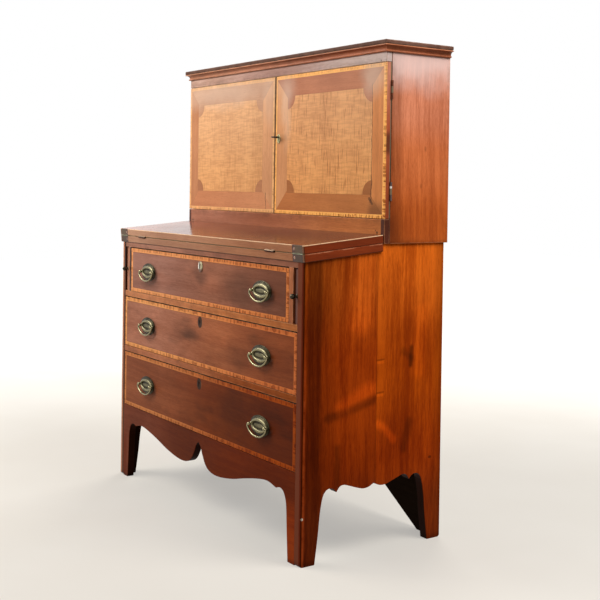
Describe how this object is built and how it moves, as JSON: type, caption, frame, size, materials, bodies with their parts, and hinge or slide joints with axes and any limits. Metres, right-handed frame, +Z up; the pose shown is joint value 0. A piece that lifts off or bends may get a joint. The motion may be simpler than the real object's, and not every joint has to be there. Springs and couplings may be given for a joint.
{
  "type": "writing cabinet",
  "caption": "Inlaid mahogany writing cabinet: drawers on bracket feet, a sloping fold-over writing leaf carried by lopers, and a shallow two-door cabinet above.",
  "frame": {"origin": "on the floor, under the middle of the whole cabinet's box", "axes": "+Z up, the front with the doors and drawers faces -Y, +X to the right of someone facing it"},
  "size_m": [0.986, 0.4431, 1.215],
  "materials": {
    "mahogany": "waxed polish",
    "mahogany_side": "sun-faded waxed polish",
    "drawer_mahogany": "waxed veneer with crossbanding",
    "inlaid_door": "polished figured veneer with mahogany banding",
    "deal": "unfinished, darkened with age",
    "oak": "unfinished",
    "brass": "aged, dull in the hollows",
    "steel": "worn",
    "baize": "close woollen nap"
  },
  "bodies": {
    "case": {"base_back": "deal", "base_bottom": "deal", "base_side_left": "mahogany_side", "base_side_right": "mahogany_side", "cabinet_back": "deal", "cabinet_bottom": "mahogany", "cabinet_rail": "mahogany", "cabinet_shelf": "mahogany", "cabinet_side_left": "mahogany_side", "cabinet_side_right": "mahogany_side", "cabinet_top": "mahogany", "cornice": "mahogany", "door_hinge_left_lower": "brass", "door_hinge_left_upper": "brass", "door_hinge_right_lower": "brass", "door_hinge_right_upper": "brass", "drawer_divider_lower": "mahogany", "drawer_divider_upper": "mahogany", "frieze": "mahogany", "front_apron": "mahogany", "loper_partition_left": "mahogany", "loper_partition_right": "mahogany", "lower_leaf": "mahogany", "lower_leaf_corner_plate_left": "brass", "lower_leaf_corner_plate_right": "brass", "lower_leaf_lining": "baize", "top_rail": "mahogany"},
    "flap": {"writing_flap": "mahogany", "writing_flap_lining": "baize", "writing_flap_corner_plate_left": "brass", "writing_flap_corner_plate_right": "brass"},
    "door_left": {"door_left": "inlaid_door"},
    "door_right": {"door_right": "inlaid_door", "door_escutcheon": "brass", "door_lock": "brass"},
    "lock_bolt": {"door_lock_bolt": "steel"},
    "key": {"door_key": "steel"},
    "loper_left": {"loper_left": "mahogany", "loper_knob_left": "brass"},
    "loper_right": {"loper_right": "mahogany", "loper_knob_right": "brass"},
    "drawer_1": {"drawer_front_1": "drawer_mahogany", "drawer_box_1": "oak", "handle_plate_1_left": "brass", "handle_plate_1_right": "brass", "drawer_escutcheon": "brass"},
    "bail_1_left": {"handle_bail_1_left": "brass"},
    "bail_1_right": {"handle_bail_1_right": "brass"},
    "drawer_2": {"drawer_front_2": "drawer_mahogany", "drawer_box_2": "oak", "handle_plate_2_left": "brass", "handle_plate_2_right": "brass"},
    "bail_2_left": {"handle_bail_2_left": "brass"},
    "bail_2_right": {"handle_bail_2_right": "brass"},
    "drawer_3": {"drawer_front_3": "drawer_mahogany", "drawer_box_3": "oak", "handle_plate_3_left": "brass", "handle_plate_3_right": "brass"},
    "bail_3_left": {"handle_bail_3_left": "brass"},
    "bail_3_right": {"handle_bail_3_right": "brass"}
  },
  "joints": [
    {"name": "flap_hinge", "type": "hinge", "parent": "case", "child": "flap", "pos_m": [0, -0.21035, 0.71211], "axis": [1, 0, 0], "range_deg": [0, 180]},
    {"name": "door_left_hinge", "type": "hinge", "parent": "case", "child": "door_left", "pos_m": [-0.481, 0.03665, 0.79055], "axis": [0, 0, -1], "range_deg": [0, 180]},
    {"name": "door_right_hinge", "type": "hinge", "parent": "case", "child": "door_right", "pos_m": [0.481, 0.03665, 0.79055], "axis": [0, 0, 1], "range_deg": [0, 180]},
    {"name": "key_turn", "type": "hinge", "parent": "door_right", "child": "key", "pos_m": [0.02, 0.02035, 0.99765], "axis": [0, -1, 0], "range_deg": [0, 90]},
    {"name": "bolt_slide", "type": "slide", "parent": "door_right", "child": "lock_bolt", "axis": [-1, 0, 0], "range_m": [0, 0.008]},
    {"name": "loper_left_slide", "type": "slide", "parent": "case", "child": "loper_left", "axis": [0, -1, 0], "range_m": [0, 0.165]},
    {"name": "loper_right_slide", "type": "slide", "parent": "case", "child": "loper_right", "axis": [0, -1, 0], "range_m": [0, 0.165]},
    {"name": "drawer_1_slide", "type": "slide", "parent": "case", "child": "drawer_1", "axis": [0, -1, 0], "range_m": [0, 0.3]},
    {"name": "bail_1_left_swing", "type": "hinge", "parent": "drawer_1", "child": "bail_1_left", "pos_m": [-0.3, -0.21735, 0.61375], "axis": [-1, 0, 0], "range_deg": [-10, 170]},
    {"name": "bail_1_right_swing", "type": "hinge", "parent": "drawer_1", "child": "bail_1_right", "pos_m": [0.3, -0.21735, 0.61375], "axis": [-1, 0, 0], "range_deg": [-10, 170]},
    {"name": "drawer_2_slide", "type": "slide", "parent": "case", "child": "drawer_2", "axis": [0, -1, 0], "range_m": [0, 0.3]},
    {"name": "bail_2_left_swing", "type": "hinge", "parent": "drawer_2", "child": "bail_2_left", "pos_m": [-0.3, -0.21735, 0.4595], "axis": [-1, 0, 0], "range_deg": [-10, 170]},
    {"name": "bail_2_right_swing", "type": "hinge", "parent": "drawer_2", "child": "bail_2_right", "pos_m": [0.3, -0.21735, 0.4595], "axis": [-1, 0, 0], "range_deg": [-10, 170]},
    {"name": "drawer_3_slide", "type": "slide", "parent": "case", "child": "drawer_3", "axis": [0, -1, 0], "range_m": [0, 0.3]},
    {"name": "bail_3_left_swing", "type": "hinge", "parent": "drawer_3", "child": "bail_3_left", "pos_m": [-0.3, -0.21735, 0.29045], "axis": [-1, 0, 0], "range_deg": [-10, 170]},
    {"name": "bail_3_right_swing", "type": "hinge", "parent": "drawer_3", "child": "bail_3_right", "pos_m": [0.3, -0.21735, 0.29045], "axis": [-1, 0, 0], "range_deg": [-10, 170]}
  ],
  "couplings": [
    {"joint": "key_turn", "follows": "bolt_slide", "rad_per_m": 196.3}
  ]
}
